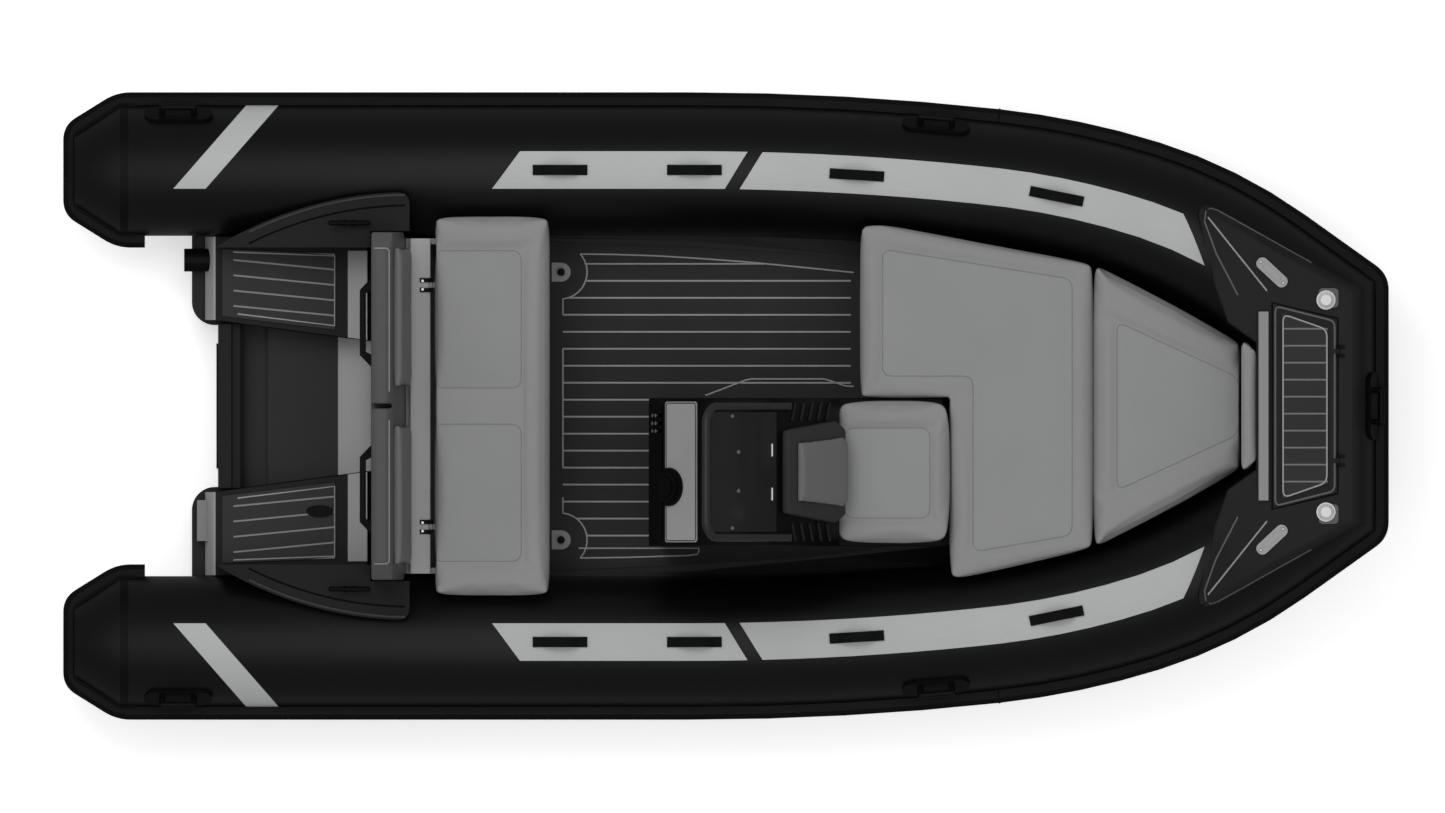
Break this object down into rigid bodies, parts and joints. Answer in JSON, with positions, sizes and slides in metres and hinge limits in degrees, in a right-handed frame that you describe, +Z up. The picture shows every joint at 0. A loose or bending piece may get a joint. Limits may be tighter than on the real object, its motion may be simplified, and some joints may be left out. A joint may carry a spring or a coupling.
{
  "type": "rigid inflatable boat",
  "caption": "Open rigid inflatable boat with a V hull, inflated collar, aft bench over a locker, offset helm console with a forward seat, and bow cushions.",
  "frame": {"origin": "on the waterline, on the centreline, at half the boat's length", "axes": "+X forward to the bow, +Y to port, +Z up"},
  "size_m": [4.605, 2.18, 1.484],
  "materials": {
    "hull_paint": "satin black powder coat",
    "bare_alloy": "light grey powder coat",
    "fittings": "brushed stainless steel",
    "tube_fabric": "coated tube fabric, satin",
    "strake_rubber": "moulded rubber",
    "patch_fabric": "light grey pebbled tube fabric",
    "webbing": "black webbing",
    "moulding": "dark grey moulding",
    "black_plastic": "black plastic",
    "deck_foam": "dark foam decking with pale lines",
    "dash_paint": "light grey panel",
    "upholstery": "grey marine vinyl",
    "screen_tint": "smoked acrylic",
    "lens": "clear lens"
  },
  "bodies": {
    "boat": {"boat_hull": "hull_paint", "transom": "hull_paint", "motor_pad": "black_plastic", "well_tray": "hull_paint", "drain_trunk": "black_plastic", "anode": "fittings", "bow_eye": "fittings", "port_tube": "tube_fabric", "bow_tube": "tube_fabric", "starboard_tube": "tube_fabric", "port_strake": "strake_rubber", "bow_strake": "strake_rubber", "starboard_strake": "strake_rubber", "tube_patches": "patch_fabric", "webbing_handles": "webbing", "carry_handles": "strake_rubber", "port_quarter": "moulding", "starboard_quarter": "moulding", "platform_pads": "deck_foam", "stern_cleats": "black_plastic", "backrest": "moulding", "backrest_pads": "upholstery", "backrest_handles": "black_plastic", "bench_box": "bare_alloy", "bench_bar": "bare_alloy", "lid_hinges": "fittings", "foot_plates": "fittings", "deck_pads": "deck_foam", "console": "black_plastic", "switch_panel": "black_plastic", "dash_panel": "dash_paint", "helm_bezel": "black_plastic", "windscreen": "screen_tint", "screen_rail": "black_plastic", "seat_back": "black_plastic", "seat_back_pad": "upholstery", "console_cushion": "upholstery", "bow_locker": "moulding", "bow_cushion_aft": "upholstery", "bow_cushion_fore": "upholstery", "bow_moulding": "moulding", "bow_backrest": "upholstery", "bow_bar": "bare_alloy", "bow_cleats": "fittings", "bow_lights": "lens"},
    "lid": {"bench_lid": "bare_alloy", "bench_cushion": "upholstery"},
    "hatch": {"bow_hatch": "moulding", "hatch_pad": "deck_foam"}
  },
  "joints": [
    {"name": "bench_lid_hinge", "type": "hinge", "parent": "boat", "child": "lid", "pos_m": [-1.029, 0, 0.4971], "axis": [0, -1, 0], "range_deg": [0, 85]},
    {"name": "bow_hatch_hinge", "type": "hinge", "parent": "boat", "child": "hatch", "pos_m": [2.122, 0, 0.7293], "axis": [0, 1, 0], "range_deg": [0, 95]}
  ]
}
